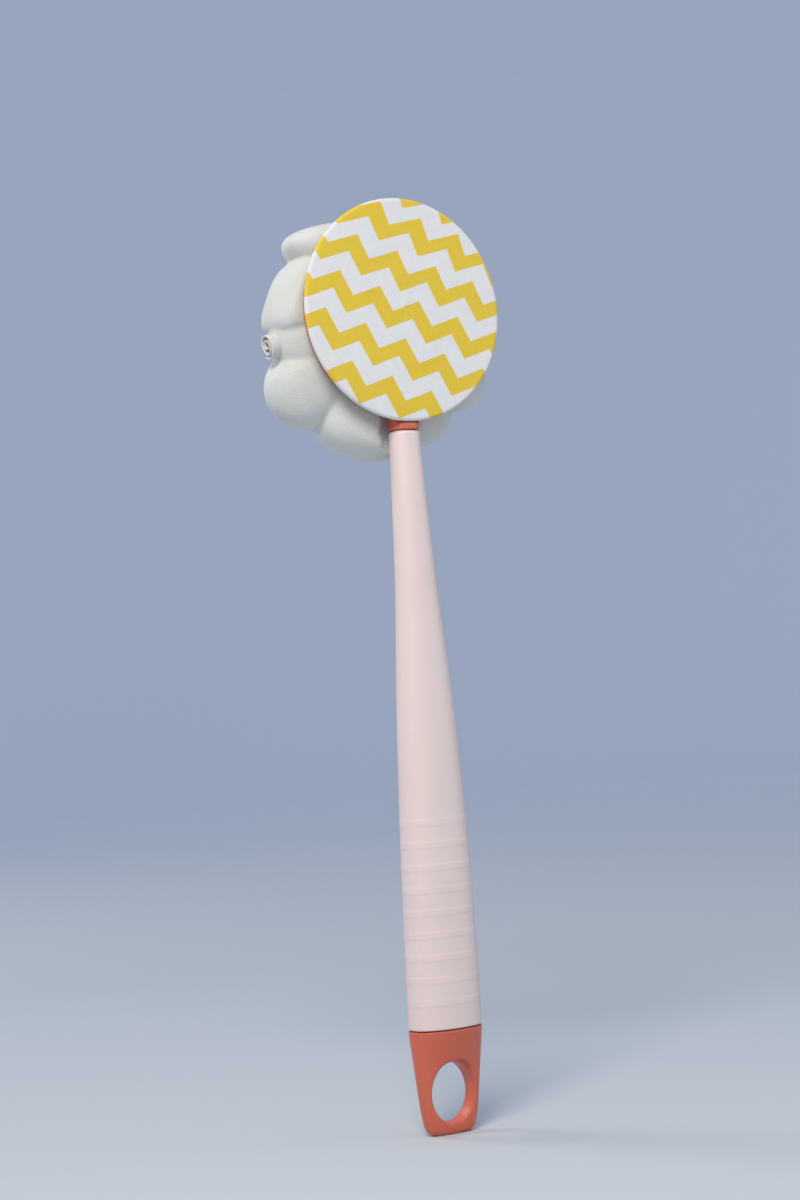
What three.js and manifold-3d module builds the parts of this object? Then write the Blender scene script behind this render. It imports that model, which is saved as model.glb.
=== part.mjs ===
// Loofah back scrubber, in millimetres. A hollow moulded handle has a hanging cap plugged into its
// lower end and a round head plugged into its upper end. The head is a plate with a printed foam
// pad on its front and a net pouf tied to its back. +Z runs up the handle, -Y is the pad's side,
// and the origin is in the middle of the flat end of the cap.
import * as THREE from 'three';
import { mergeVertices } from 'three/addons/utils/BufferGeometryUtils.js';
import Module from 'manifold-3d';

const wasm = await Module();
wasm.setup();

// Driving dimensions
const TOTAL_LENGTH = 400;
const GAP = 0.3; // between pieces that touch
const CAP_LENGTH = 45;
const COLLAR_HEIGHT = 3.4;
const BOW = 2.6; // how far the middle of the handle stands towards the pad's side
const WALL = 2.2; // of the hollow mouldings
const GRIP_SIDES = 28;

const PAD_DIAMETER = 96;
const FABRIC_THICKNESS = 0.5;
const FOAM_THICKNESS = 1.8;
const ADHESIVE_THICKNESS = 0.3;
const ADHESIVE_MARGIN = 3.5; // from the pad's edge
const LAYER_GAP = 0.2; // between the flat layers of the pad
const PLATE_DIAMETER = 90;
const PLATE_FRONT = -4.4; // Y of the face that the pad is stuck to
const PLATE_BACK = -1.4;
const RIM_BACK = 0; // the plate's raised rim
const DISC_SIDES = 56;

const HEAD_CENTRE = TOTAL_LENGTH - PAD_DIAMETER / 2;
const HEAD_BOTTOM = TOTAL_LENGTH - PAD_DIAMETER;
const NECK_TOP = HEAD_BOTTOM - COLLAR_HEIGHT;

// Outer sizes of the handle: height, width (X) and depth (Y)
const HANDLE_OUTLINE = [
  [46, 33.4, 22],
  [100, 32.2, 21.4],
  [140, 29.9, 20],
  [180, 26.3, 18.2],
  [205, 22.9, 16.4],
  [232, 18.8, 14.4],
  [258, 16.4, 13.4],
  [290, 13.6, 12.4],
  [300, 13.4, 12.2],
];
const RIBS = { count: 9, first: 57, pitch: 9.5, width: 3.6, top: 2, height: 0.3 };

// Outer sizes of the cap, which narrows and flattens towards its free end
const CAP_OUTLINE = [
  [0, 16.4, 5],
  [0.5, 19.4, 6.6],
  [1.6, 22.4, 7.9],
  [3.4, 24.5, 8.7],
  [6, 26, 9.1],
  [12, 27.9, 9.5],
  [20, 29.8, 10.5],
  [28, 31.2, 13],
  [36, 32.4, 17.4],
  [42, 33.1, 20.8],
  [CAP_LENGTH - 0.6, 33.4, 21.9],
  [CAP_LENGTH, 32.8, 21.3],
];
const CAP_SQUARENESS = 2.7; // 2 is an ellipse, and more has fuller corners
const HOLE = { width: 20.4, height: 25.4, centre: 17.8 };
// The hole's rim: its share of the hole's size, and how far from the middle of the thickness
const HOLE_RIM = [[1, 2.4], [1.03, 3.6], [1.1, 4.8], [1.3, 7], [2.2, 20]];
const SPIGOT_LENGTH = 15;
const SPIGOT_FLOOR = 38; // height of the bottom of the spigot's hollow
const HOLE_SIDES = 32;

// Where the handle's rings stand between its grip and its neck, and those of its bore
const TAPER = { first: 150, last: 290, pitch: 14 };
const BORE_HEIGHTS = [70, 100, 130, 160, 185, 205, 225, 245, 270];
const BORE_OVERRUN = 8; // how far the bore's cutter stands out at both ends
const NECK_ROUNDING = [[1.6, 0], [0.5, -0.35], [0, -1]]; // below the neck's end, and growth
const RIM_ROUNDING = -0.4; // growth at the handle's lower rim
const OVERLAP = 1; // how deep joined shapes run into each other

const STEM_LENGTH = 26;
// Outer sizes of the collar at the neck and of the root that fades into the plate above it
const COLLAR_OUTLINE = [
  [NECK_TOP, 12.6, 11.4],
  [NECK_TOP + 0.6, 13.8, 12.6],
  [HEAD_BOTTOM, 14, 12.4],
  [HEAD_BOTTOM + 6, 15, 10.8],
  [HEAD_BOTTOM + 14, 17, 7],
  [HEAD_BOTTOM + 24, 19, 3],
];
const TIE_HOLES = { spacing: 9, diameter: 4 };
const TIE_BOSS = { radius: 10, slope: 1.5, back: -0.3 };
const TIE_GROOVE = { width: 12, height: 3, depth: 2.4 }; // where the cord crosses under the pad
const CORD_DIAMETER = 2;
const KNOT_DIAMETER = 6;
const KNOT_Y = 42;

// The three lengths of net on the tie cord, from the plate to the crown of the pouf
const NETS = [
  { name: 'net_length_inner', front: 0.5, back: 20, radius: 55, lobes: 9, turn: 0.3 },
  { name: 'net_length_middle', front: 20.3, back: 34, radius: 54, lobes: 8, turn: 0.9 },
  { name: 'net_length_outer', front: 34.3, back: 46, radius: 46, lobes: 7, turn: 1.7 },
];
const NET_CHANNEL_RADIUS = 7.5; // the gathered middle, open for the tie cord
const NET_EDGE = 4; // how far the channel's mouths are rounded
const LOBES_BEGIN = 0.4; // share of the radius within which the ring stays round and level
const LOBE_DEPTH = 0.03; // of the radius
const NET_SAG = 7; // how far the lobes hang below the tie
const NET_CLEARANCE = 0.8; // around the stem and the neck

const material = (color, roughness) =>
  new THREE.MeshStandardMaterial({ color, roughness, metalness: 0 });
const PINK_PLASTIC = material(0xe8cdc6, 0.45);
const CORAL_PLASTIC = material(0xc9664d, 0.4);
const ADHESIVE = material(0xdcd8cc, 0.6);
const FOAM = material(0xf2f1ee, 0.95);
const PRINTED_FABRIC = material(0xe4c64a, 0.85);
const NET = material(0xe9e8da, 0.7);
const CORD = material(0xe6e4da, 0.8);

// Where the handle's middle line lies in Y at a height: a shallow arc between its two ends
function bow(z) {
  const along = THREE.MathUtils.clamp(z / HEAD_BOTTOM, 0, 1);
  return -4 * BOW * along * (1 - along);
}

// A smooth outline through rows of [height, width, depth], read at any height
function smoothOutline(rows) {
  const heights = rows.map(([z]) => z);
  const sizes = rows.flatMap(([, width, depth]) => [width, depth]);
  const curve = new THREE.CubicInterpolant(heights, sizes, 2);
  return (z) => {
    const [width, depth] = curve.evaluate(z);
    return [z, width, depth];
  };
}

// A solid with level oval sections, one for each row of [height, width, depth]
function loft(rows, squareness = 2) {
  const steps = rows.length - 1;
  const geometry = new THREE.CylinderGeometry(1, 1, steps, GRIP_SIDES, steps);
  geometry.rotateX(Math.PI / 2);
  const points = geometry.attributes.position;
  const fuller = (value) => Math.sign(value) * Math.abs(value) ** (2 / squareness);
  for (let i = 0; i < points.count; i += 1) {
    const [z, width, depth] = rows[Math.round(points.getZ(i) + steps / 2)];
    const x = (fuller(points.getX(i)) * width) / 2;
    const y = (fuller(points.getY(i)) * depth) / 2;
    points.setXYZ(i, x, y + bow(z), z);
  }
  return geometry;
}

// A closed geometry as a manifold solid
function solid(geometry) {
  const shape = geometry.clone();
  shape.deleteAttribute('normal');
  shape.deleteAttribute('uv');
  const merged = mergeVertices(shape);
  const corners = merged.index.array;
  const triVerts = [];
  for (let i = 0; i < corners.length; i += 3) {
    const [a, b, c] = [corners[i], corners[i + 1], corners[i + 2]];
    if (a !== b && b !== c && c !== a) triVerts.push(a, b, c);
  }
  return new wasm.Manifold(new wasm.Mesh({
    numProp: 3,
    vertProperties: Float32Array.from(merged.attributes.position.array),
    triVerts: Uint32Array.from(triVerts),
  }));
}

function geometryOf(manifold) {
  const { vertProperties, triVerts } = manifold.getMesh();
  const geometry = new THREE.BufferGeometry();
  geometry.setAttribute('position', new THREE.BufferAttribute(vertProperties, 3));
  geometry.setIndex(new THREE.BufferAttribute(triVerts, 1));
  geometry.computeVertexNormals();
  return geometry;
}

function piece(name, geometry, finish) {
  const mesh = new THREE.Mesh(geometry, finish);
  mesh.name = name;
  return mesh;
}

// A round disc facing along Y, around the middle of the head
function headDisc(radius, front, back) {
  const disc = new THREE.CylinderGeometry(radius, radius, back - front, DISC_SIDES);
  return disc.translate(0, (front + back) / 2, HEAD_CENTRE);
}

const handleAt = smoothOutline(HANDLE_OUTLINE);
const grown = ([z, width, depth], by) => [z, width + 2 * by, depth + 2 * by];

// The bore that runs through the handle, grown or shrunk by a clearance
function boreRows(bottom, top, clearance = 0) {
  const inside = BORE_HEIGHTS.filter((z) => z > bottom && z < top);
  return [bottom, ...inside, top].map((z) => {
    const [, width, depth] = handleAt(z);
    return grown([z, width, depth], clearance - WALL);
  });
}

function handleShell() {
  const top = NECK_TOP - GAP;
  const [lowest] = HANDLE_OUTLINE;
  const rows = [
    grown([CAP_LENGTH + GAP, lowest[1], lowest[2]], RIM_ROUNDING),
    lowest,
  ];
  for (let i = 0; i < RIBS.count; i += 1) {
    const middle = RIBS.first + i * RIBS.pitch;
    rows.push(handleAt(middle - RIBS.width / 2));
    rows.push(grown(handleAt(middle - RIBS.top / 2), RIBS.height));
    rows.push(grown(handleAt(middle + RIBS.top / 2), RIBS.height));
    rows.push(handleAt(middle + RIBS.width / 2));
  }
  for (let z = TAPER.first; z <= TAPER.last; z += TAPER.pitch) rows.push(handleAt(z));
  for (const [below, by] of NECK_ROUNDING) rows.push(grown(handleAt(top - below), by));
  const bore = boreRows(CAP_LENGTH - BORE_OVERRUN, top + BORE_OVERRUN);
  return geometryOf(solid(loft(rows)).subtract(solid(loft(bore))));
}

function endCap() {
  const spigotTop = CAP_LENGTH + SPIGOT_LENGTH;
  const spigot = boreRows(CAP_LENGTH - OVERLAP, spigotTop, -GAP);
  const hollow = boreRows(SPIGOT_FLOOR, spigotTop + OVERLAP, -GAP - WALL);
  // The hole runs along Y and flares at both faces as a soft rim
  const end = HOLE_RIM.at(-1)[1];
  const front = HOLE_RIM.map(([r, y]) => [r, -y]).reverse();
  const section = [[0, -end], ...front, ...HOLE_RIM, [0, end]];
  const rim = section.map(([r, y]) => new THREE.Vector2(r, y));
  const hole = new THREE.LatheGeometry(rim, HOLE_SIDES);
  hole.scale(HOLE.width / 2, 1, HOLE.height / 2).translate(0, bow(HOLE.centre), HOLE.centre);
  const body = solid(loft(CAP_OUTLINE, CAP_SQUARENESS)).add(solid(loft(spigot)));
  return geometryOf(body.subtract(solid(loft(hollow))).subtract(solid(hole)));
}

// The coral head: plate, rim, tie boss, and the stem that plugs into the handle
function headPlate() {
  const outer = PLATE_DIAMETER / 2;
  const section = [
    [0, PLATE_FRONT], [outer - 0.5, PLATE_FRONT], [outer, PLATE_FRONT + 0.5],
    [outer, RIM_BACK - 0.6], [outer - 0.6, RIM_BACK], [outer - 2, RIM_BACK],
    [outer - 3, PLATE_BACK], [TIE_BOSS.radius + TIE_BOSS.slope, PLATE_BACK],
    [TIE_BOSS.radius, TIE_BOSS.back], [0, TIE_BOSS.back],
  ].map(([r, y]) => new THREE.Vector2(r, y));
  const plate = new THREE.LatheGeometry(section, DISC_SIDES).translate(0, 0, HEAD_CENTRE);

  const stem = boreRows(NECK_TOP - STEM_LENGTH, NECK_TOP + OVERLAP, -GAP);
  // Room for the pad in front of the plate, and for the cord
  const padRoom = headDisc(PAD_DIAMETER / 2 + GAP, PLATE_FRONT - PAD_DIAMETER / 4, PLATE_FRONT);
  const groove = new THREE.BoxGeometry(TIE_GROOVE.width, 2 * TIE_GROOVE.depth, TIE_GROOVE.height);
  groove.translate(0, PLATE_FRONT, HEAD_CENTRE);

  let head = solid(plate).add(solid(loft(COLLAR_OUTLINE))).add(solid(loft(stem)));
  head = head.subtract(solid(padRoom)).subtract(solid(groove));
  for (const side of [-1, 1]) {
    const radius = TIE_HOLES.diameter / 2;
    const tieHole = new THREE.CylinderGeometry(radius, radius, PLATE_DIAMETER / 4, 16);
    tieHole.translate((side * TIE_HOLES.spacing) / 2, 0, HEAD_CENTRE);
    head = head.subtract(solid(tieHole));
  }
  return geometryOf(head);
}

// One gathered length of net: a soft lobed ring around the tie cord
function netLength({ front, back, radius, lobes, turn }) {
  const middle = (front + back) / 2;
  const half = (back - front) / 2;
  const inside = NET_CHANNEL_RADIUS;
  const shape = new THREE.Shape();
  shape.moveTo(inside, front + NET_EDGE / 2);
  shape.quadraticCurveTo(inside, front, inside + NET_EDGE, front);
  shape.lineTo(radius - half, front);
  shape.absellipse(radius - half, middle, half, half, -Math.PI / 2, Math.PI / 2, false, 0);
  shape.lineTo(inside + NET_EDGE, back);
  shape.quadraticCurveTo(inside, back, inside, back - NET_EDGE / 2);
  shape.closePath();
  const geometry = new THREE.LatheGeometry(shape.getPoints(3), 40);
  const points = geometry.attributes.position;
  for (let i = 0; i < points.count; i += 1) {
    const [x, y, z] = [points.getX(i), points.getY(i), points.getZ(i)];
    const outward = Math.max(0, (Math.hypot(x, z) / radius - LOBES_BEGIN) / (1 - LOBES_BEGIN));
    const wave = 1 - LOBE_DEPTH * outward * (1 - Math.cos(lobes * Math.atan2(z, x) + turn));
    points.setXYZ(i, x * wave, y, z * wave - NET_SAG * outward);
  }
  const stem = [NECK_TOP - STEM_LENGTH, ...handleAt(NECK_TOP - STEM_LENGTH).slice(1)];
  const room = loft([stem, ...COLLAR_OUTLINE.slice(1)].map((row) => grown(row, NET_CLEARANCE)));
  return geometryOf(solid(geometry.translate(0, 0, HEAD_CENTRE)).subtract(solid(room)));
}

// The cord runs through the net lengths and the plate's two holes, and its ends meet in a knot
function tieCord() {
  const side = TIE_HOLES.spacing / 2;
  const seat = PLATE_FRONT + CORD_DIAMETER / 2 + 0.1;
  const route = [
    [0, KNOT_Y],
    [side - 1, KNOT_Y - 1.5],
    [side, KNOT_Y - 5],
    [side, KNOT_Y / 2],
    [side, RIM_BACK],
    [side - 1, seat + 0.4],
    [side - 2.5, seat],
  ];
  const back = route.map(([x, y]) => [-x, y]).reverse();
  const path = [...route, ...back].map(([x, y]) => new THREE.Vector3(x, y, HEAD_CENTRE));
  const round = new THREE.Shape().absarc(0, 0, CORD_DIAMETER / 2, 0, 2 * Math.PI);
  const cord = new THREE.ExtrudeGeometry(round, {
    curveSegments: 4,
    steps: 40,
    extrudePath: new THREE.CatmullRomCurve3(path, false, 'centripetal'),
  });
  const knot = new THREE.SphereGeometry(KNOT_DIAMETER / 2, 12, 8);
  knot.scale(1, 0.8, 0.9).translate(0, KNOT_Y, HEAD_CENTRE);
  return geometryOf(solid(cord).add(solid(knot)));
}

// The pad's layers, from the plate forwards
const adhesiveBack = PLATE_FRONT - LAYER_GAP;
const foamBack = adhesiveBack - ADHESIVE_THICKNESS - LAYER_GAP;
const fabricBack = foamBack - FOAM_THICKNESS - LAYER_GAP;
const padRadius = PAD_DIAMETER / 2;
const adhesive = headDisc(padRadius - ADHESIVE_MARGIN, adhesiveBack - ADHESIVE_THICKNESS, adhesiveBack);
const foam = headDisc(padRadius, foamBack - FOAM_THICKNESS, foamBack);
const fabric = headDisc(padRadius, fabricBack - FABRIC_THICKNESS, fabricBack);

const scrubber = new THREE.Group();
scrubber.add(piece('handle_shell', handleShell(), PINK_PLASTIC));
scrubber.add(piece('end_cap', endCap(), CORAL_PLASTIC));
scrubber.add(piece('head_plate', headPlate(), CORAL_PLASTIC));
scrubber.add(piece('pad_adhesive', adhesive, ADHESIVE));
scrubber.add(piece('pad_foam', foam, FOAM));
scrubber.add(piece('pad_fabric', fabric, PRINTED_FABRIC));
for (const net of NETS) scrubber.add(piece(net.name, netLength(net), NET));
scrubber.add(piece('tie_cord', tieCord(), CORD));

export default scrubber;
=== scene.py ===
"""Loofah back scrubber: a moulded handle with a hanging cap, and a round head with a printed foam
pad in front and a net pouf behind. Metres, +Z up the handle, the pad faces -Y."""
import math

import bpy
import numpy as np
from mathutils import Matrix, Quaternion, Vector


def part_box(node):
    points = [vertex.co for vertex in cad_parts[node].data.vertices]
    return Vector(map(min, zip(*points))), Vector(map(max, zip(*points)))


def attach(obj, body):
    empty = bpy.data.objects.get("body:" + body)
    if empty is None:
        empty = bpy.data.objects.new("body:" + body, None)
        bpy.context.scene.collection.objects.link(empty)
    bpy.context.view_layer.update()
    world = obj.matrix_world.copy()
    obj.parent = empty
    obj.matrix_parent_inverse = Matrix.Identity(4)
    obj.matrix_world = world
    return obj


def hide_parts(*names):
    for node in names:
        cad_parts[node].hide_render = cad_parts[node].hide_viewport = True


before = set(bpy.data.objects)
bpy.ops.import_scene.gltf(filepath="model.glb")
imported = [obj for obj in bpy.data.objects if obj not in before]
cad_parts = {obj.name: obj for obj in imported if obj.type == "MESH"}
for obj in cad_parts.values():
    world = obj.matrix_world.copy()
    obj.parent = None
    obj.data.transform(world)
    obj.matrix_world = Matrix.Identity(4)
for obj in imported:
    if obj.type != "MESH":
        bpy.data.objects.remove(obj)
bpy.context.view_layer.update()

MM = 0.001
BODY = "root"

# ---------------------------------------------------------------- places, from the frame
HANDLE_LOW, HANDLE_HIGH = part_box("handle_shell")
PLATE_LOW, PLATE_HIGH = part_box("head_plate")
ADHESIVE_LOW, ADHESIVE_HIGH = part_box("pad_adhesive")
FABRIC_LOW, FABRIC_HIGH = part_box("pad_fabric")
HEAD_CENTRE = (FABRIC_LOW + FABRIC_HIGH) / 2
PAD_RADIUS = (FABRIC_HIGH.x - FABRIC_LOW.x) / 2
HEAD_BOTTOM = HEAD_CENTRE.z - PAD_RADIUS
HEAD_Z = HEAD_CENTRE.z / MM
GAP = 0.3  # mm, between the CAD's pieces
CAP_LENGTH = HANDLE_LOW.z / MM - GAP
NECK_TOP = HANDLE_HIGH.z / MM + GAP

# ---------------------------------------------------------------- shape of the mouldings, mm
BOW = 2.6  # how far the handle's middle line bends towards the pad's side
SEAM = 0.5  # the open line between the cap and the handle
# height, width (X), depth (Y)
HANDLE_OUTLINE = [
    (46, 33.4, 22), (100, 32.2, 21.4), (140, 29.9, 20), (180, 26.3, 18.2), (205, 22.9, 16.4),
    (232, 18.8, 14.4), (258, 16.4, 13.4), (290, 13.6, 12.4), (300, 13.4, 12.2),
]
HANDLE_SQUARENESS = 2.25
HANDLE_SIDES = 128
HANDLE_ROUNDING = 7.0  # over how many millimetres the outline's corners are eased
BORE_ROWS = 40
WALL = 2.2
RIBS = dict(count=9, first=57, pitch=9.5, width=3.6, height=0.11, slope=0.75)
LOWER_RIM, NECK_RIM = (0.9, 0.6), (1.6, 1.5)  # how far up each rim is rounded, and how far in
NECK_CLOSER = 0.1  # the handle's neck comes this much nearer to the collar than in the CAD
# from one row of the handle's mesh to the next, at its rims, along the ribs and elsewhere
RIM_STEP, RIB_STEP, PLAIN_STEP = 0.15, 0.35, 1.5
CAP_OUTLINE = [
    (0, 16, 4.6), (0.5, 19, 6.3), (1.6, 22, 7.7), (3.4, 24.1, 8.6), (6, 25.6, 9), (12, 27.6, 9.4),
    (20, 29.5, 10.4), (28, 31, 12.9), (36, 32.3, 17.2), (42, 33.1, 20.8), (45, 33.4, 21.9),
]
CAP_SIDES = 112
CAP_ROUNDING = 2.0
CAP_SQUARENESS = dict(end=3.0, less=0.7)  # at its flat end, and how much less at its top
CAP_EASED = (3, 8)  # up to where its outline keeps its corners, and from where they are all eased
CAP_ROWS = dict(edge=25, edge_top=6, rest=60)  # of its mesh: up to the edge's top, and above it
HOLE = dict(width=20.4, height=25.4, centre=17.8)
# how far from the middle of the thickness the hole's rim opens, and to what share of its size
HOLE_RIM = [(0, 1), (2.2, 1), (3.2, 1.02), (4.1, 1.055), (4.9, 1.11), (5.7, 1.2), (7, 1.36), (14, 2)]
HOLE_RIM_UP, HOLE_RIM_DOWN = 0.3, 0.9  # the shares of that opening above and below the hole
HOLE_ROWS, HOLE_SIDES = 57, 72
SPIGOT = dict(width=27.4, depth=16.2, length=14.5, root=2, sides=64)
CAP_SOFTENING = dict(voxel=0.35, passes=5)

PLATE_BACK = -1.4
RIM_BACK = 0.0
PLATE_WIDER = 0.4  # than the CAD's plate, in radius
PLATE_SIDES = 160
# rows of the plate's front edge: in from its side, back from its face
PLATE_EDGE = [(0.5, 0), (0.15, 0.15), (0, 0.5)]
# rows of its raised rim: in from its side, back from the rim's top
PLATE_RIM = [(0, -0.3), (0.1, -0.1), (0.3, 0), (1.8, 0), (2.3, -0.3)]
RIM_WIDTH = 3
TIE_BOSS = dict(radius=10, slope=1.5, back=-0.3)
TIE_GROOVE = dict(width=12.0, height=3.0, depth=2.4)
TIE_HOLES = dict(spacing=9, radius=2)
# height above the neck, and then above the head's lowest point, with width and depth
COLLAR = [(0, 12.6, 11.6), (0.3, 13.4, 12.4), (0.8, 13.9, 12.7)]
COLLAR_ROOT = [(0, 14, 12.5), (6, 15, 10.8), (14, 17, 7), (24, 19, 3)]
COLLAR_SQUARENESS, COLLAR_SIDES = 2.1, 64
ROOT_DEPTH = 0.6  # how far into the plate the front of the collar's root lies
CUT_SIDES = 96
CUT_REACH, CUT_OVER = 9, 1  # how far the holes' cutters reach from Y = 0, and a cutter past a face
IN_FRONT = -20  # a Y in front of the whole brush
PLATE_SOFTENING = dict(voxel=0.4, passes=2)

SKIN_GAP = 0.05  # between the pad or the plate and the adhesive
PAD_ROOM = 0.4  # all round the pad, where the collar is cut away
CLOTH = 0.45  # thickness of the printed cloth
CLOTH_SLACK = 0.06  # between the cloth and the foam
TURNED_UNDER = 2.8  # how far the cloth's edge comes in over the foam's back
FOAM_STEP = 0.3  # from the cloth's turned-under edge in to the foam, which fills the middle
PAD_UNEVEN = 0.1  # how far the pad's face swells and dips
# rows of the pad's meshes over its face, the radius of the first, and rows round its edge
FACE_ROWS, FACE_FIRST, EDGE_ROWS, PAD_SIDES = 40, 0.6, 12, 192

# ---------------------------------------------------------------- the print, mm and degrees
PRINT = dict(run=20.155, tilt=-18.37, spacing=17.75, lean=2.407, zigzag=8.29, run_start=0.26,
             row_start=0.848)
PRINT_PULL = 9.0  # how far the cloth is dragged along its rows at the top of the pad
PRINT_EDGE = (0.222, 0.253)  # where a yellow row ends, in rows from its middle
THREAD = 0.62  # from one thread of the cloth to the next

# ---------------------------------------------------------------- colours, darker and lighter
PINK = ((0.74, 0.605, 0.565, 1), (0.77, 0.635, 0.595, 1))
CORAL = ((0.59, 0.118, 0.06, 1), (0.63, 0.133, 0.072, 1))
FOAM = ((0.52, 0.52, 0.5, 1), (0.85, 0.85, 0.83, 1))
INK = ((0.66, 0.45, 0.03, 1), (0.80, 0.585, 0.055, 1))
BARE_CLOTH = ((0.66, 0.66, 0.66, 1), (0.79, 0.79, 0.785, 1))
NET = ((0.58, 0.585, 0.53, 1), (0.72, 0.735, 0.715, 1))
NET_CREASE_SHADE = (0.60, 0.58, 0.43, 1)  # painted shade in the creases between lobes, and yellower too where the net lies many layers deep
NET_SHEEN = (0.86, 0.94, 1.0, 1)
CORD = ((0.6, 0.59, 0.54, 1), (0.85, 0.84, 0.78, 1))
ADHESIVE = ((0.60, 0.57, 0.48, 1), (0.74, 0.71, 0.62, 1))


def clamp(x):
    """The value, kept between 0 and 1."""
    return np.minimum(np.maximum(x, 0.0), 1.0)


def smoothstep(low, high, x):
    """0 below low, 1 above high, and a soft rise between them."""
    t = clamp((x - low) / (high - low))
    return t * t * (3 - 2 * t)


def bow(z_mm):
    """The Y place of the handle's middle line at a height, in mm."""
    along = clamp(z_mm / (HEAD_BOTTOM / MM))
    return -4 * BOW * along * (1 - along)


# ---------------------------------------------------------------- meshes
def mesh_object(name, points, faces):
    """A new smooth-shaded object, from points in metres."""
    mesh = bpy.data.meshes.new(name)
    mesh.from_pydata([tuple(p) for p in points], [], [tuple(f) for f in faces])
    mesh.validate()
    mesh.update()
    mesh.polygons.foreach_set("use_smooth", [True] * len(mesh.polygons))
    piece = bpy.data.objects.new(name, mesh)
    bpy.context.scene.collection.objects.link(piece)
    return piece


def with_more(piece, points, faces):
    """The same piece with one more closed shape in its mesh."""
    old = piece.data
    own = np.empty(3 * len(old.vertices))
    old.vertices.foreach_get("co", own)
    count = len(old.vertices)
    faces = [tuple(p.vertices) for p in old.polygons] + [tuple(v + count for v in face) for face in faces]
    name = piece.name
    bpy.data.objects.remove(piece)
    bpy.data.meshes.remove(old)
    return mesh_object(name, np.concatenate([own.reshape(-1, 3), points]), faces)


def ring_faces(rows, sides):
    """Quads between neighbouring rings of points, each ring closed on itself."""
    faces = []
    for r in range(rows - 1):
        for s in range(sides):
            a, b = r * sides + s, r * sides + (s + 1) % sides
            faces.append((a, b, b + sides, a + sides))
    return faces


def facing_out(points, faces):
    """The faces, turned over if they enclose a negative volume."""
    volume = 0.0
    for face in faces:
        a = points[face[0]]
        for b, c in zip(face[1:-1], face[2:]):
            volume += np.dot(a, np.cross(points[b], points[c]))
    return faces if volume > 0 else [tuple(reversed(face)) for face in faces]


def capped_rings(rings):
    """Points and faces of a closed solid through rings, each an (n, 3) array."""
    sides, rows = len(rings[0]), len(rings)
    points = np.concatenate(list(rings) + [[rings[0].mean(0)], [rings[-1].mean(0)]])
    faces = ring_faces(rows, sides)
    low, high = rows * sides, rows * sides + 1
    last = (rows - 1) * sides
    for s in range(sides):
        faces.append((low, (s + 1) % sides, s))
        faces.append((high, last + s, last + (s + 1) % sides))
    return points, facing_out(points, faces)


def oval_ring(z, width, depth, squareness, sides):
    """One level section, in mm, as an (n, 3) array."""
    turn = np.linspace(0, 2 * math.pi, sides, endpoint=False)
    c, s = np.cos(turn), np.sin(turn)
    x = np.sign(c) * np.abs(c) ** (2 / squareness) * width / 2
    y = np.sign(s) * np.abs(s) ** (2 / squareness) * depth / 2
    return np.stack([x, y + bow(z), np.full(sides, z)], 1)


def smooth_outline(rows, blur):
    """Width and depth at any height, through the rows and eased over a blur in mm."""
    z, width, depth = np.array(rows, float).T
    beyond, reach = 40, 30  # mm: how far the rows are carried on, and how far the blur looks
    fine = np.arange(z[0] - beyond, z[-1] + beyond, 1.0)
    kernel = np.exp(-0.5 * (np.arange(-reach, reach + 1) / blur) ** 2)
    kernel /= kernel.sum()

    def eased(values):
        first = (values[1] - values[0]) / (z[1] - z[0])
        last = (values[-1] - values[-2]) / (z[-1] - z[-2])
        line = np.interp(fine, z, values)
        line = np.where(fine < z[0], values[0] + first * (fine - z[0]), line)
        line = np.where(fine > z[-1], values[-1] + last * (fine - z[-1]), line)
        return np.convolve(np.pad(line, reach, mode="edge"), kernel, mode="valid")

    widths, depths = eased(width), eased(depth)
    return lambda at: np.array([np.interp(at, fine, widths), np.interp(at, fine, depths)])


def apply_modifiers(piece):
    """Puts what the piece's modifiers make into its own mesh."""
    bpy.context.view_layer.update()
    done = piece.evaluated_get(bpy.context.evaluated_depsgraph_get())
    mesh = bpy.data.meshes.new_from_object(done)
    old, piece.data = piece.data, mesh
    mesh.name = piece.name
    piece.modifiers.clear()
    bpy.data.meshes.remove(old)


def cut(piece, cutter, operation="DIFFERENCE"):
    """Takes the cutter's shape off the piece, or joins it on, and uses the cutter up."""
    step = piece.modifiers.new("cut", "BOOLEAN")
    step.operation, step.solver, step.object = operation, "EXACT", cutter
    apply_modifiers(piece)
    bpy.data.objects.remove(cutter)


def soften(piece, voxel, passes):
    """Rounds a piece's edges: an even remesh, with its voxel in mm, and a few smoothing passes."""
    remesh = piece.modifiers.new("even", "REMESH")
    remesh.mode, remesh.voxel_size, remesh.use_smooth_shade = "VOXEL", voxel * MM, True
    smooth = piece.modifiers.new("round", "SMOOTH")
    smooth.factor, smooth.iterations = 0.5, passes
    apply_modifiers(piece)


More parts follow.
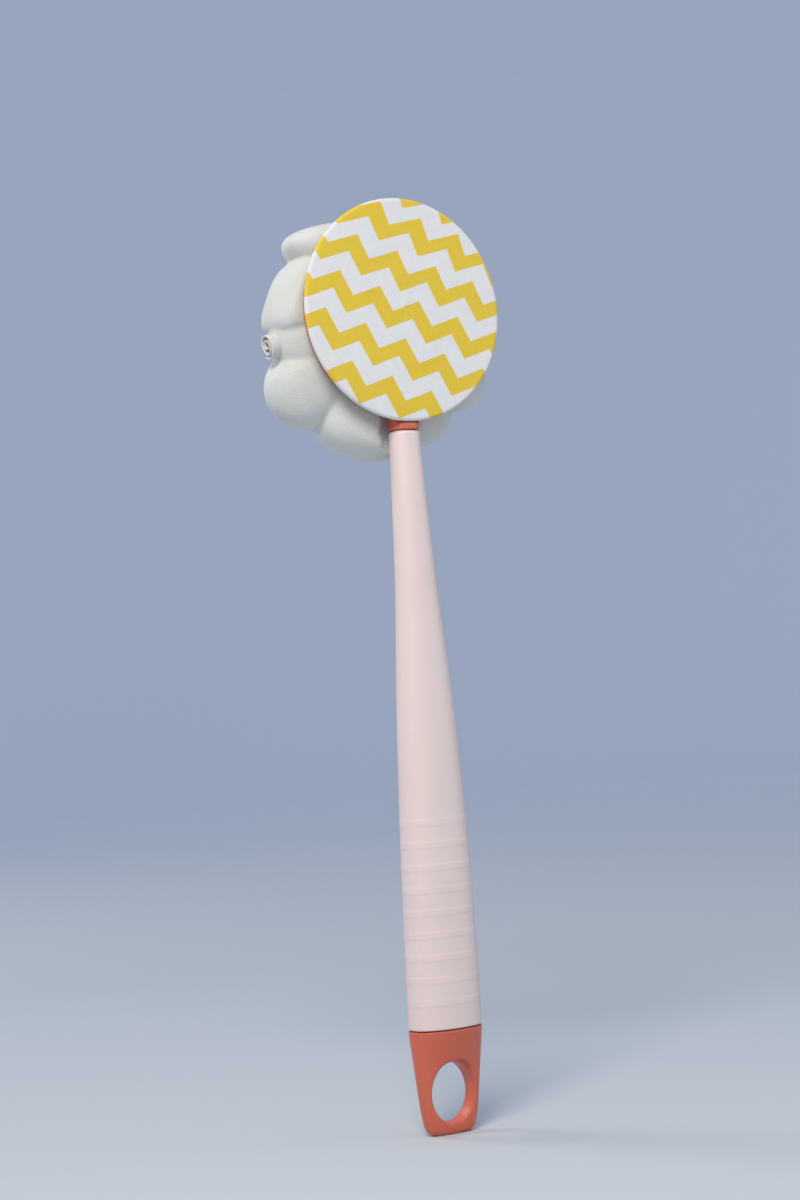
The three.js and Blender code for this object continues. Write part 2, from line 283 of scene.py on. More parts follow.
# ---------------------------------------------------------------- shaders
class Shader:
    """A material's node tree, with short calls that add a node and join it."""

    def __init__(self, name, **skin):
        self.material = bpy.data.materials.new(name)
        self.material.use_nodes = True
        self.tree = self.material.node_tree
        self.skin = self.tree.nodes["Principled BSDF"]
        for socket, value in skin.items():
            self.put(self.skin, socket.replace("_", " "), value)
        self.place = self.add("ShaderNodeTexCoord").outputs["Object"]

    def put(self, node, socket, value):
        """Joins another node's output to a socket, or sets the socket to a plain value."""
        target = node.inputs[socket]
        if isinstance(value, bpy.types.NodeSocket):
            self.tree.links.new(value, target)
        else:
            target.default_value = value

    def add(self, kind, inputs=(), **settings):
        node = self.tree.nodes.new(kind)
        for key, value in settings.items():
            setattr(node, key, value)
        for socket, value in dict(inputs).items():
            self.put(node, socket, value)
        return node

    def math(self, operation, a, b=0.0):
        return self.add("ShaderNodeMath", {0: a, 1: b}, operation=operation).outputs[0]

    def noise(self, scale, detail):
        inputs = {"Vector": self.place, "Scale": scale, "Detail": detail, "Roughness": 0.5}
        return self.add("ShaderNodeTexNoise", inputs).outputs["Fac"]

    def remap(self, value, low, high, to_low, to_high, smooth=False):
        node = self.add("ShaderNodeMapRange", {0: value, 1: low, 2: high, 3: to_low, 4: to_high})
        node.interpolation_type = "SMOOTHSTEP" if smooth else "LINEAR"
        return node.outputs[0]

    def mix(self, amount, a, b):
        """The colour a, turning into b as the amount goes from 0 to 1."""
        node = self.add("ShaderNodeMix", data_type="RGBA")
        for i, value in ((0, amount), (6, a), (7, b)):
            self.put(node, i, value)
        return node.outputs[2]

    def bump(self, height, distance, strength, normal=None):
        inputs = {"Height": height, "Distance": distance, "Strength": strength}
        if normal:
            inputs["Normal"] = normal
        return self.add("ShaderNodeBump", inputs).outputs["Normal"]


def plastic(name, colours, roughness):
    """Satin moulded plastic with a fine grain and slight unevenness of colour."""
    s = Shader(name, Specular_IOR_Level=0.5, Coat_Weight=0.08, Coat_Roughness=0.25)
    cloud = s.remap(s.noise(28, 2), 0.3, 0.7, 0, 1)
    s.put(s.skin, "Base Color", s.mix(cloud, *colours))
    s.put(s.skin, "Roughness", s.remap(s.noise(160, 4), 0.3, 0.7, roughness - 0.05, roughness + 0.05))
    s.put(s.skin, "Subsurface Weight", 0.08)
    s.put(s.skin, "Subsurface Radius", (0.004, 0.002, 0.0015))
    grain = s.bump(s.noise(2600, 2), 0.00002, 0.6)
    s.put(s.skin, "Normal", s.bump(s.noise(90, 2), 0.00008, 0.5, grain))
    return s.material


def foam_material():
    """Open-cell sponge: a matt skin broken up by small pores."""
    s = Shader("white_foam", Roughness=0.95, Specular_IOR_Level=0.2, Subsurface_Weight=0.15)
    s.put(s.skin, "Subsurface Radius", (0.003, 0.003, 0.003))
    pores = s.add("ShaderNodeTexVoronoi", {"Vector": s.place, "Scale": 1500.0}).outputs["Distance"]
    tone = s.remap(pores, 0.0, 0.7, 0.0, 1.0)
    s.put(s.skin, "Base Color", s.mix(tone, *FOAM))
    s.put(s.skin, "Normal", s.bump(pores, 0.0004, 0.9))
    return s.material


def pulled_place(s):
    """Where on the flat cloth each point of the pad's face comes from: X and Z from its middle.
    The cloth is dragged along its rows towards the top, more so on the right."""
    place = s.add("ShaderNodeSeparateXYZ", {0: s.place})
    warp = s.math("MULTIPLY", s.math("SUBTRACT", s.noise(70, 2), 0.5), 0.5 * MM)
    x = s.math("ADD", s.math("SUBTRACT", place.outputs["X"], HEAD_CENTRE.x), warp)
    z = s.math("SUBTRACT", s.math("SUBTRACT", place.outputs["Z"], HEAD_CENTRE.z), warp)
    up = s.math("DIVIDE", s.math("MAXIMUM", z, 0.0), PAD_RADIUS)
    rightwards = s.math("ADD", s.math("DIVIDE", x, PAD_RADIUS), 1.0)
    pull = s.math("MULTIPLY", s.math("MULTIPLY", rightwards, s.math("MULTIPLY", up, up)), -PRINT_PULL * MM)
    tilt = math.radians(PRINT["tilt"])
    x_flat = s.math("ADD", x, s.math("MULTIPLY", pull, math.cos(tilt)))
    z_flat = s.math("ADD", z, s.math("MULTIPLY", pull, math.sin(tilt)))
    return x_flat, z_flat


def weighted(s, x, z, weights):
    """How far a place is along the direction that the two weights give."""
    return s.math("ADD", s.math("MULTIPLY", x, weights[0]), s.math("MULTIPLY", z, weights[1]))


def zigzag_rows(s, x, z, along, across):
    """1 on the yellow rows and 0 between them."""
    run = along * PRINT["run"]
    row = across * PRINT["spacing"] + along * PRINT["lean"]
    to_repeats = np.linalg.inv(np.stack([run, row], 1)) / MM
    step = s.math("SUBTRACT", weighted(s, x, z, to_repeats[0]), PRINT["run_start"] - 0.5)
    rise = PRINT["zigzag"] / PRINT["spacing"]
    centre = s.math("ADD", s.math("MULTIPLY", s.math("PINGPONG", step, 0.5), 2 * rise),
                    PRINT["row_start"] - rise / 2)
    from_row = s.math("PINGPONG", s.math("SUBTRACT", weighted(s, x, z, to_repeats[1]), centre), 0.5)
    return s.remap(from_row, *PRINT_EDGE, 1, 0, smooth=True)


def print_material():
    """Woven fabric with yellow zigzag rows. The rows run across the pad on a tilt."""
    s = Shader("printed_fabric", Specular_IOR_Level=0.25, Sheen_Weight=0.25, Sheen_Roughness=0.5)
    x, z = pulled_place(s)
    tilt = math.radians(PRINT["tilt"])
    along = np.array([math.cos(tilt), math.sin(tilt)])
    across = np.array([-math.sin(tilt), math.cos(tilt)])
    yellow = zigzag_rows(s, x, z, along, across)

    def threads(weights, pitch):
        wave = s.math("MULTIPLY", weighted(s, x, z, weights), 2 * math.pi / pitch)
        return s.math("ADD", s.math("MULTIPLY", s.math("SINE", wave), 0.5), 0.5)

    weave = s.math("MAXIMUM", threads(along, THREAD * MM), threads(across, THREAD * MM))
    worn = s.remap(s.noise(420, 3), 0.25, 0.75, 0.75, 1)
    shade = s.remap(s.math("MULTIPLY", weave, worn), 0.3, 1, 0.0, 1)
    ink = s.mix(shade, *INK)
    bare = s.mix(shade, *BARE_CLOTH)
    s.put(s.skin, "Base Color", s.mix(yellow, bare, ink))
    s.put(s.skin, "Roughness", s.remap(shade, 0, 1, 0.92, 0.78))
    fine = s.bump(weave, 0.00010, 0.6)
    s.put(s.skin, "Normal", s.bump(s.noise(60, 3), 0.0006, 0.5, fine))
    return s.material


def net_material():
    """Fine knitted net, stretched smooth: faint courses round the tie, light that soaks in, and
    painted shade in the creases, which are darker and yellower where the surface is hollow."""
    s = Shader("cream_net", Roughness=0.6, Specular_IOR_Level=0.25, Sheen_Weight=0.3, Sheen_Roughness=0.4)
    s.put(s.skin, "Sheen Tint", NET_SHEEN)
    s.put(s.skin, "Subsurface Weight", 0.4)
    s.put(s.skin, "Subsurface Radius", (0.008, 0.0075, 0.006))
    place = s.add("ShaderNodeSeparateXYZ", {0: s.place})
    up = s.math("SUBTRACT", place.outputs["Z"], HEAD_CENTRE.z)
    x = place.outputs["X"]
    from_tie = s.math("SQRT", s.math("ADD", s.math("MULTIPLY", x, x), s.math("MULTIPLY", up, up)))
    along = s.math("ADD", from_tie, s.math("MULTIPLY", place.outputs["Y"], 0.7))
    drift = s.math("MULTIPLY", s.math("SUBTRACT", s.noise(60, 2), 0.5), 2.5)
    turn = s.math("ADD", s.math("MULTIPLY", along, 2 * math.pi / (NET_COURSE * MM)), drift)
    courses = s.math("ADD", s.math("MULTIPLY", s.math("SINE", turn), 0.5), 0.5)
    tight = s.remap(s.noise(24, 2), 0.4, 0.65, 0.3, 1.0, smooth=True)  # where the courses show most
    knit = s.math("MULTIPLY", courses, tight)
    cloud = s.remap(s.noise(38, 3), 0.3, 0.7, 0.0, 0.5)
    cloth = s.mix(s.math("ADD", cloud, s.math("MULTIPLY", knit, 0.5)), *NET)
    # painted shade: hollow places, the creases between lobes, turn darker and yellower
    shaded_hollow = s.add("ShaderNodeNewGeometry").outputs["Pointiness"]
    s.put(s.skin, "Base Color", s.mix(s.remap(shaded_hollow, 0.44, 0.5, 0.8, 0), cloth, NET_CREASE_SHADE))
    fine = s.bump(s.math("ADD", knit, s.math("MULTIPLY", s.noise(1500, 2), 0.6)), 0.0002, 0.7)
    s.put(s.skin, "Normal", s.bump(s.noise(110, 3), 0.0007, 0.3, fine))
    return s.material


def cord_material():
    """Braided cord: wavy bands of strands across it."""
    s = Shader("white_cord", Roughness=0.8, Sheen_Weight=0.2)
    bands = {"Vector": s.place, "Scale": 260.0, "Distortion": 2.0, "Detail": 2.0}
    strand = s.add("ShaderNodeTexWave", bands).outputs["Fac"]
    s.put(s.skin, "Base Color", s.mix(strand, *CORD))
    s.put(s.skin, "Normal", s.bump(strand, 0.0003, 0.8))
    return s.material


def adhesive_material():
    """A dull film of glue, slightly cloudy."""
    s = Shader("clear_adhesive", Roughness=0.4)
    film = s.noise(300, 4)
    s.put(s.skin, "Base Color", s.mix(film, *ADHESIVE))
    s.put(s.skin, "Normal", s.bump(film, 0.0002, 0.4))
    return s.material


# ---------------------------------------------------------------- mouldings
def rounded_back(distance, radius, depth):
    """How far a rounded edge falls back at a distance from it."""
    inside = clamp(1 - distance / radius)
    return depth * (1 - math.sqrt(1 - inside**2))


def handle_heights(low, high):
    """Close together at both rims, even along the ribs, and wider apart on the plain part."""
    rib_end = RIBS["first"] + RIBS["pitch"] * RIBS["count"]
    lower_rim, neck_rim = low + 1.2, high - 1.8
    return np.concatenate([
        np.arange(low, lower_rim, RIM_STEP), np.arange(low + 1.3, rib_end, RIB_STEP),
        np.arange(rib_end + 1, neck_rim, PLAIN_STEP), np.arange(neck_rim, high + 0.01, RIM_STEP),
    ])


def handle():
    """Hollow tapered grip with low raised ribs, a soft lower rim and a rounded neck end."""
    outline = smooth_outline(HANDLE_OUTLINE, HANDLE_ROUNDING)
    low, high = CAP_LENGTH + SEAM, HANDLE_HIGH.z / MM + NECK_CLOSER
    rings = []
    for z in handle_heights(low, high):
        away = np.abs(z - RIBS["first"] - np.arange(RIBS["count"]) * RIBS["pitch"])
        ribs = 1 - smoothstep(RIBS["width"] / 2 - RIBS["slope"], RIBS["width"] / 2, away)
        grown = RIBS["height"] * ribs.sum()
        grown -= rounded_back(z - low, *LOWER_RIM) + rounded_back(high - z, *NECK_RIM)
        width, depth = outline(z) + 2 * grown
        rings.append(oval_ring(z, width, depth, HANDLE_SQUARENESS, HANDLE_SIDES) * MM)
    # the walls turn in at both ends and close the moulding around its bore
    inset = 0.02
    for z in np.linspace(high - inset, low + inset, BORE_ROWS):
        width, depth = outline(z) - 2 * WALL
        rings.append(oval_ring(z, width, depth, HANDLE_SQUARENESS, HANDLE_SIDES) * MM)
    faces = ring_faces(len(rings), HANDLE_SIDES)
    last = (len(rings) - 1) * HANDLE_SIDES
    for a in range(HANDLE_SIDES):
        b = (a + 1) % HANDLE_SIDES
        faces.append((last + a, last + b, b, a))
    points = np.concatenate(rings)
    return mesh_object("handle_grip", points, facing_out(points, faces))


def facing_ring(half_width, half_height, y, z, sides):
    """One oval section square to Y, in mm, as an (n, 3) array."""
    turn = np.linspace(0, 2 * math.pi, sides, endpoint=False)
    x = half_width * np.cos(turn)
    return np.stack([x, np.full(sides, y), half_height * np.sin(turn) + z], 1)


def cap_block():
    """The cap's outer shape. The rounding of its outline leaves the flat end's edge alone."""
    z, width, depth = np.array(CAP_OUTLINE, float).T
    outline = smooth_outline(CAP_OUTLINE, CAP_ROUNDING)
    edge = np.linspace(0, CAP_ROWS["edge_top"], CAP_ROWS["edge"])
    rest = np.linspace(CAP_ROWS["edge_top"], CAP_LENGTH, CAP_ROWS["rest"])
    rings = []
    for at in np.unique(np.concatenate([edge, rest])):
        square = CAP_SQUARENESS["end"] - CAP_SQUARENESS["less"] * smoothstep(CAP_EASED[1], CAP_LENGTH, at)
        eased = smoothstep(*CAP_EASED, at)
        wide, deep = outline(at)
        wide = np.interp(at, z, width) * (1 - eased) + wide * eased
        deep = np.interp(at, z, depth) * (1 - eased) + deep * eased
        rings.append(oval_ring(at, wide, deep, square, CAP_SIDES) * MM)
    return mesh_object("hanging_cap", *capped_rings(rings))


def cap_hole():
    """The hole along Y, wider at both faces. Its rim opens least upwards, where the cap is thick."""
    away, share = np.array(HOLE_RIM).T
    half_width, half_height, centre = HOLE["width"] / 2, HOLE["height"] / 2, HOLE["centre"]
    rings = []
    for y in np.linspace(-away[-1], away[-1], HOLE_ROWS):
        flare = np.interp(abs(y), away, share)
        up = half_height * (1 + (flare - 1) * HOLE_RIM_UP)
        down = half_height * (1 + (flare - 1) * HOLE_RIM_DOWN)
        middle = (y + bow(centre), centre + (up - down) / 2)
        rings.append(facing_ring(half_width * flare, (up + down) / 2, *middle, HOLE_SIDES) * MM)
    return mesh_object("hole", *capped_rings(rings))


def cap():
    """Hanging cap: a full-cornered oval block with a soft-rimmed hole and a spigot on its top."""
    body = cap_block()
    spigot = [oval_ring(at, SPIGOT["width"], SPIGOT["depth"], HANDLE_SQUARENESS, SPIGOT["sides"]) * MM
              for at in (CAP_LENGTH - SPIGOT["root"], CAP_LENGTH + SPIGOT["length"])]
    cut(body, mesh_object("spigot", *capped_rings(spigot)), "UNION")
    cut(body, cap_hole())
    soften(body, **CAP_SOFTENING)
    return body


def facing_cutter(half_width, half_height, x, low, high):
    """A closed oval bar along Y, from low to high, that cuts the head's mouldings."""
    ends = [(facing_ring(half_width, half_height, y, HEAD_Z, CUT_SIDES) + (x, 0, 0)) * MM
            for y in (low, high)]
    return mesh_object("cutter", *capped_rings(ends))


def plate_disc(front):
    """The round plate, from its face at a Y in mm back to its raised rim and the boss at the tie."""
    radius = (PLATE_HIGH.x - PLATE_LOW.x) / 2 / MM + PLATE_WIDER
    profile = [(radius - inwards, front + back) for inwards, back in PLATE_EDGE]
    profile += [(radius - inwards, RIM_BACK + back) for inwards, back in PLATE_RIM]
    profile += [(radius - RIM_WIDTH, PLATE_BACK), (TIE_BOSS["radius"] + TIE_BOSS["slope"], PLATE_BACK),
                (TIE_BOSS["radius"], TIE_BOSS["back"])]
    rings = [facing_ring(r, r, y, HEAD_Z, PLATE_SIDES) * MM for r, y in profile]
    return mesh_object("head_plate_moulding", *capped_rings(rings))


def collar_and_root(front):
    """The collar at the neck and its root, which leaves room for the pad and ends inside the plate."""
    rows = [(NECK_TOP + up, width, depth) for up, width, depth in COLLAR]
    rows += [(HEAD_BOTTOM / MM + up, width, depth) for up, width, depth in COLLAR_ROOT]
    rings = [oval_ring(*row, COLLAR_SQUARENESS, COLLAR_SIDES) * MM for row in rows]
    collar = mesh_object("collar", *capped_rings(rings))
    room = PAD_RADIUS / MM + PAD_ROOM
    cut(collar, facing_cutter(room, room, 0, IN_FRONT, front + ROOT_DEPTH))
    return collar


def plate():
    """Coral head plate with a raised rim, and the collar and root that join it to the handle."""
    front = ADHESIVE_HIGH.y / MM + SKIN_GAP
    body = plate_disc(front)
    cut(body, collar_and_root(front), "UNION")
    # two holes for the tie cord, and the groove in which it crosses between them
    radius = TIE_HOLES["radius"]
    for side in (-1, 1):
        cut(body, facing_cutter(radius, radius, side * TIE_HOLES["spacing"] / 2, -CUT_REACH, CUT_REACH))
    groove = (TIE_GROOVE["width"] / 2, TIE_GROOVE["height"] / 2)
    cut(body, facing_cutter(*groove, 0, front - CUT_OVER, front + TIE_GROOVE["depth"]))
    soften(body, **PLATE_SOFTENING)
    return body


# ---------------------------------------------------------------- pad
def turned(name, profile):
    """A round layer of the pad, from (radius, Y) points in mm, with a slightly uneven face."""
    turn = np.linspace(0, 2 * math.pi, PAD_SIDES, endpoint=False)
    front, back = FABRIC_LOW.y / MM, ADHESIVE_LOW.y / MM
    rings = []
    for r, y in profile:
        near_front = clamp((back - y) / (back - front))
        # three slow waves round the face, which turn and swell on the way out from its middle
        uneven = PAD_UNEVEN * np.sin(3 * turn + 0.26 * r) * np.sin(0.14 * r + 1.3) * near_front
        rings.append(np.stack([r * np.cos(turn), y + uneven, r * np.sin(turn) + HEAD_Z], 1) * MM)
    return mesh_object(name, *capped_rings(rings))


def round_edge(reach, middle_y, radius):
    """Half a circle of (radius, Y) points, from the front of an edge round to its back."""
    turn = np.linspace(-math.pi / 2, math.pi / 2, EDGE_ROWS)
    return [(reach + radius * math.cos(a), middle_y + radius * math.sin(a)) for a in turn]


def pad():
    """The foam, and the printed cloth that covers its face and is turned under all round."""
    front, back = FABRIC_LOW.y / MM, ADHESIVE_LOW.y / MM - SKIN_GAP
    half, middle = (back - front) / 2, (back + front) / 2
    reach = PAD_RADIUS / MM - half
    face = np.linspace(FACE_FIRST, reach, FACE_ROWS)[:-1]
    outside = [(r, front) for r in face] + round_edge(reach, middle, half)
    inside = round_edge(reach, middle, half - CLOTH)[::-1] + [(r, front + CLOTH) for r in face[::-1]]
    under = [(PAD_RADIUS / MM - TURNED_UNDER, back - share * CLOTH) for share in (0.15, 0.85)]
    cloth = turned("pad_print", outside + under + inside)

    slack = CLOTH + CLOTH_SLACK
    foam = [(r, front + slack) for r in face] + round_edge(reach, middle, half - slack)
    step, eased = PAD_RADIUS / MM - TURNED_UNDER - FOAM_STEP, 0.2
    foam += [(step + eased, back - slack), (step, back - slack / 2), (step, back - eased / 2),
             (step - eased, back)]
    foam += [(r, back) for r in np.linspace(step - 3, FACE_FIRST, EDGE_ROWS)]
    return turned("pad_sponge", foam), cloth


# ---------------------------------------------------------------- net pouf
NET_COURSE = 0.93  # mm from one row of the knitted net to the next
NET_FRONT = 0.6  # mm, clear of the plate's rim
# room for the collar's root, in mm: half its width where it is full and where it ends, the
# heights above the head's lowest point between which it ends, and how far back it reaches
ROOT_ROOM = dict(full=7.5, none=11.5, low=2, high=26, back=4.2)
RESTING = dict(within=1.2, ease=1.4)  # mm from what it rests on in which the net flattens, and how softly
NET_SOFTENING = dict(voxel=0.8, passes=3)  # eases the creases between lobes
NET_SWELL = dict(scale=34, height=0.5)  # mm, of the lobes' unevenness
LOBE_ROWS, LOBE_SIDES = 64, 84
WAIST = 0.58  # the share of a lobe's length at which it is at its fullest
LOBE_NECK = 0.2  # the share of its full size that it has at the tie
TIE_REACH, LOBE_BEND = 4.0, 0.42  # mm from the tie to a lobe's root, and the share of its reach at its bend
LAST_ROW = 0.985  # how near to the tip's middle the last row lies
GATHER = dict(reach=0.24, power=1.3, depth=0.32, pleats=9, width=0.6)  # pleats where the tie pulls
# soft creases: how far they turn, where they end along the lobe, and their width and depth in mm
CREASES = dict(count=7, turn=0.6, ends=(0.45, 0.85), width=(1.2, 2.6), depth=(0.5, 1.3))
# Lobes of each net length: angle round the tie in degrees (0 is +X, 90 is up), then in mm the
# reach from the tie, half width, half depth and Y of the middle, then how blunt the tip is, and
# for some how far the lobe slants and how square its section is
INNER_LOBES = [
    (128.5, 49.2, 16.5, 15, 15.5, 7, 0.46, 2.8), (169, 50.8, 18.5, 15.5, 16, 8, 0.24, 3.4),
    (195, 54, 16, 14, 15, 3.5), (219.5, 65.6, 18.8, 16.5, 18.5, 3), (256.5, 64, 24.2, 16, 14.5, 4, 0, 2.8),
    (291, 60, 19, 14, 15, 2.8), (323, 60, 16.5, 14, 14.5, 2.8), (350, 57, 17, 14, 14, 2.8),
    (22, 53, 18, 14, 14, 2.8), (58, 49, 18, 13.5, 14, 2.8), (92, 47, 17, 13.5, 14, 2.8),
]
MIDDLE_LOBES = [
    (8, 52, 18, 11, 29), (45, 48, 18, 11, 29), (82, 43, 17, 11, 29), (120, 40, 17, 11, 29),
    (160, 42, 18, 11, 30), (200, 45, 18, 11, 30), (240, 52, 19, 11.5, 31), (278, 56, 18, 11, 30),
    (308, 56, 17, 11, 29), (338, 54, 17, 11, 29),
]
OUTER_LOBES = [
    (20, 36, 14, 8.5, 37), (72, 33, 14, 8.5, 37), (125, 32, 14, 8.5, 37), (176, 32, 14, 8.5, 37.5),
    (228, 40, 15, 8.5, 37.5), (281, 41, 15, 8.5, 37.5), (330, 38, 14, 8.5, 37),
]
PLAIN_LOBE = (2.4, 0.0, 2.3)  # tip, slant and squareness of a lobe that doesn't state its own
# the rolled net end: its place as for a lobe, the radius of the roll inside and outside, how many
# turns it has, its length and cloth, and how much it narrows towards the tie and is flattened
NET_ROLL = dict(angle=193.5, reach=57.8, middle_y=14.5, first=0.9, last=5.6, turns=2.1, length=12,
                cloth=1.0, taper=0.2, flatter=0.9)
ROLL_POINTS, ROLL_SLICES = 90, 14


def swells(points, scale, seed):
    """A smooth uneven field over the points, about -1 to 1: a few crossing waves."""
    rng = np.random.default_rng(seed)
    total = np.zeros(points.shape[:-1])
    for _ in range(6):
        way = rng.normal(size=3)
        way /= np.linalg.norm(way) * scale * rng.uniform(0.7, 1.5)
        total += np.sin(points @ way * 2 * math.pi + rng.uniform(0, 2 * math.pi))
    return total / 2.4


def lobe_fullness(out, tip):
    """A lobe's share of its full size along its length: narrow at the tie, round at the tip."""
    opening = LOBE_NECK + (1 - LOBE_NECK) * np.sin(clamp(out / WAIST) * math.pi / 2) ** 1.15
    closing = np.sqrt(1 - clamp((out - WAIST) / (1 - WAIST)) ** tip)
    return np.where(out < WAIST, opening, closing)


def lobe_creases(out, turn, half_girth, rng):
    """Depth in mm of the soft creases that run out from the tie and fade."""
    depth = np.zeros_like(out)
    for _ in range(CREASES["count"]):
        at, drift = rng.uniform(0, 2 * math.pi), rng.uniform(-CREASES["turn"], CREASES["turn"])
        ends, wide, deep = (rng.uniform(*CREASES[part]) for part in ("ends", "width", "depth"))
        away = np.angle(np.exp(1j * (turn - at - drift * out))) * half_girth
        depth += deep * np.exp(-((away / wide) ** 2)) * (1 - smoothstep(ends * 0.5, ends, out))
    return depth


def curve_out(out, reach, root_y, middle_y):
    """A lobe's middle line from the tie to its tip: distance and Y, and the line's direction."""
    weights = np.stack([(1 - out) ** 2, 2 * out * (1 - out), out * out], -1)
    slopes = np.stack([2 * (out - 1), 2 - 4 * out, 2 * out], -1)
    corners = np.array([(TIE_REACH, root_y), (reach * LOBE_BEND, middle_y), (reach, middle_y)])
    direction = slopes @ corners
    return weights @ corners, direction / np.linalg.norm(direction, axis=-1, keepdims=True)


def lobe_grid():
    """How far out along a lobe, as a share, and how far round it each point of its mesh lies."""
    half = LOBE_ROWS // 2
    last = np.sin(np.linspace(0, math.pi / 2 * LAST_ROW, LOBE_ROWS - half))
    rows = np.concatenate([WAIST * np.linspace(0, 1, half, endpoint=False), WAIST + (1 - WAIST) * last])
    return np.meshgrid(rows, np.linspace(0, 2 * math.pi, LOBE_SIDES, endpoint=False), indexing="ij")


def lobe_section(out, turn, shape, seed):
    """How far each point lies from the lobe's middle line, across and through it, in mm, with its
    pleats and creases. Then its distance without the creases, and the lobe's fullness there."""
    half_width, half_depth, tip, square = shape
    full = lobe_fullness(out, tip)
    c, s = np.cos(turn), np.sin(turn)
    across = np.sign(c) * np.abs(c) ** (2 / square) * half_width * full
    thick = np.sign(s) * np.abs(s) ** (2 / square) * half_depth * full
    gather = np.exp(-((out / GATHER["reach"]) ** GATHER["power"]))
    pleats = 1 - np.abs(np.cos(GATHER["pleats"] / 2 * turn + seed)) ** GATHER["width"]
    shrink = 1 - GATHER["depth"] * gather * pleats
    size = np.maximum(1e-6, np.hypot(across, thick) * shrink)
    rng = np.random.default_rng(seed)
    dent = lobe_creases(out, turn, (half_width + half_depth) / 2, rng) * clamp(full * 1.4)
    shrink *= 1 - dent / np.maximum(size, 4.0)
    return across * shrink, thick * shrink, size[..., None], full


def lobe(shape, root_y, seed):
    """One puffed lobe of net, gathered at the tie and full at its end. Points and faces, in mm."""
    angle, reach, half_width, half_depth, middle_y, tip, slant, square = shape
    out, turn = lobe_grid()
    across, thick, size, full = lobe_section(out, turn, (half_width, half_depth, tip, square), seed)

    line, direction = curve_out(out, reach, root_y, middle_y)
    a = math.radians(angle)
    along = line[..., 0] - thick * direction[..., 1] + slant * across * out
    depth = line[..., 1] + thick * direction[..., 0]
    x = along * math.cos(a) - across * math.sin(a)
    z = along * math.sin(a) + across * math.cos(a) + HEAD_Z
    points = np.stack([x, depth, z], -1)
    outward = np.stack([-across * math.sin(a), thick, across * math.cos(a)], -1) / size
    swell = swells(points, NET_SWELL["scale"], seed + 5) * NET_SWELL["height"] * clamp(full * 1.3)
    points += outward * swell[..., None]
    return capped_rings(points)


def net_roll():
    """The net's cut end, rolled up on itself between two lobes. Points and faces, in mm."""
    count, slices = ROLL_POINTS, ROLL_SLICES
    turn = np.linspace(0, 2 * math.pi * NET_ROLL["turns"], count)
    radius = NET_ROLL["first"] + (NET_ROLL["last"] - NET_ROLL["first"]) * (turn / turn[-1]) ** 0.8
    a = math.radians(NET_ROLL["angle"])
    out, side = np.array([math.cos(a), 0, math.sin(a)]), np.array([-math.sin(a), 0, math.cos(a)])
    rings = []
    for step in np.linspace(0, 1, slices):
        # the cloth is thin at the rim of the roll, which rounds it
        half = NET_ROLL["cloth"] / 2 * math.sqrt(1 - clamp(1 - step / 0.1) ** 2 * 0.75)
        middle = out * (NET_ROLL["reach"] - NET_ROLL["length"] * step) + (0, NET_ROLL["middle_y"], HEAD_Z)
        both = []
        for grown, way in ((half, 1), (-half, -1)):
            r = (radius + grown)[::way] * (1 - NET_ROLL["taper"] * step)
            t = turn[::way]
            both.append(middle + np.outer(r * np.cos(t), side)
                        + np.outer(r * np.sin(t) * NET_ROLL["flatter"], (0, 1, 0)))
        rings.append(np.concatenate(both))
    points = np.concatenate(rings)
    faces = ring_faces(slices, 2 * count)
    last = (slices - 1) * 2 * count
    for i in range(count - 1):
        near = (i, i + 1, 2 * count - 2 - i, 2 * count - 1 - i)
        faces.append(near[::-1])
        faces.append(tuple(last + v for v in near))
    return points, facing_out(points, faces)


def clear_of_mouldings(points):
    """Flattens the net where it rests on the plate's back, the root and the neck, in mm."""
    x, y, z = points.T
    beside = 1 - smoothstep(ROOT_ROOM["full"], ROOT_ROOM["none"], np.abs(x))
    above = smoothstep(HEAD_BOTTOM / MM + ROOT_ROOM["low"], HEAD_BOTTOM / MM + ROOT_ROOM["high"], z)
    least = NET_FRONT + beside * (1 - above) * ROOT_ROOM["back"]
    soft = RESTING["within"]
    flattened = least + soft * np.exp((y - least - soft) / soft / RESTING["ease"])
    return np.stack([x, np.where(y < least + soft, flattened, y), z], 1)


def net_length(name, lobes, root_y, seed):
    """The lobes of one length of net as one soft closed shape."""
    points, faces, count = [], [], 0
    for i, shape in enumerate(lobes):
        some, theirs = lobe(shape + PLAIN_LOBE[len(shape) - 5:], root_y, seed + i)
        faces += [tuple(v + count for v in face) for face in theirs]
        points.append(some)
        count += len(some)
    piece = mesh_object(name, clear_of_mouldings(np.concatenate(points)) * MM, faces)
    soften(piece, **NET_SOFTENING)
    return piece


# ---------------------------------------------------------------- stage
FLOOR_COLOUR, WALL_COLOUR = (0.54, 0.575, 0.61, 1), (0.85, 0.87, 0.91, 1)
ROOM_COLOUR, ROOM_STRENGTH = (0.305, 0.376, 0.505, 1), 1.0
STAGE = dict(flat=3.2, bend=1.6, sides=96)  # metres out to where the floor turns up, and how roundly
STAGE_FADE = (0.7, 3.0)  # metres out from which the floor turns from its own colour to the wall's
LIGHTS_AIM = 0.8  # the share of the head's height
# degrees round, up and rolled; metres for its aim, distance and nearest view; mm for its lens
CAMERA = dict(azimuth=-30.9, elevation=-1.8, roll=-3.85, aim=(-0.0074, 0.0, 0.2280), distance=1.068,
              lens=75, sensor=36, nearest=0.05)
# place, size and watts of each soft light, and its colour
KEY_LIGHT = ((-0.9, -1.0, 1.4), 0.8, 26.5, (1.0, 0.935, 0.83))
FILL_LIGHT = ((1.3, -1.0, 0.7), 1.2, 3, (1.0, 0.95, 0.9))
BACK_LIGHT = ((-0.8, 1.4, 1.3), 0.8, 9, (1.0, 0.95, 0.88))


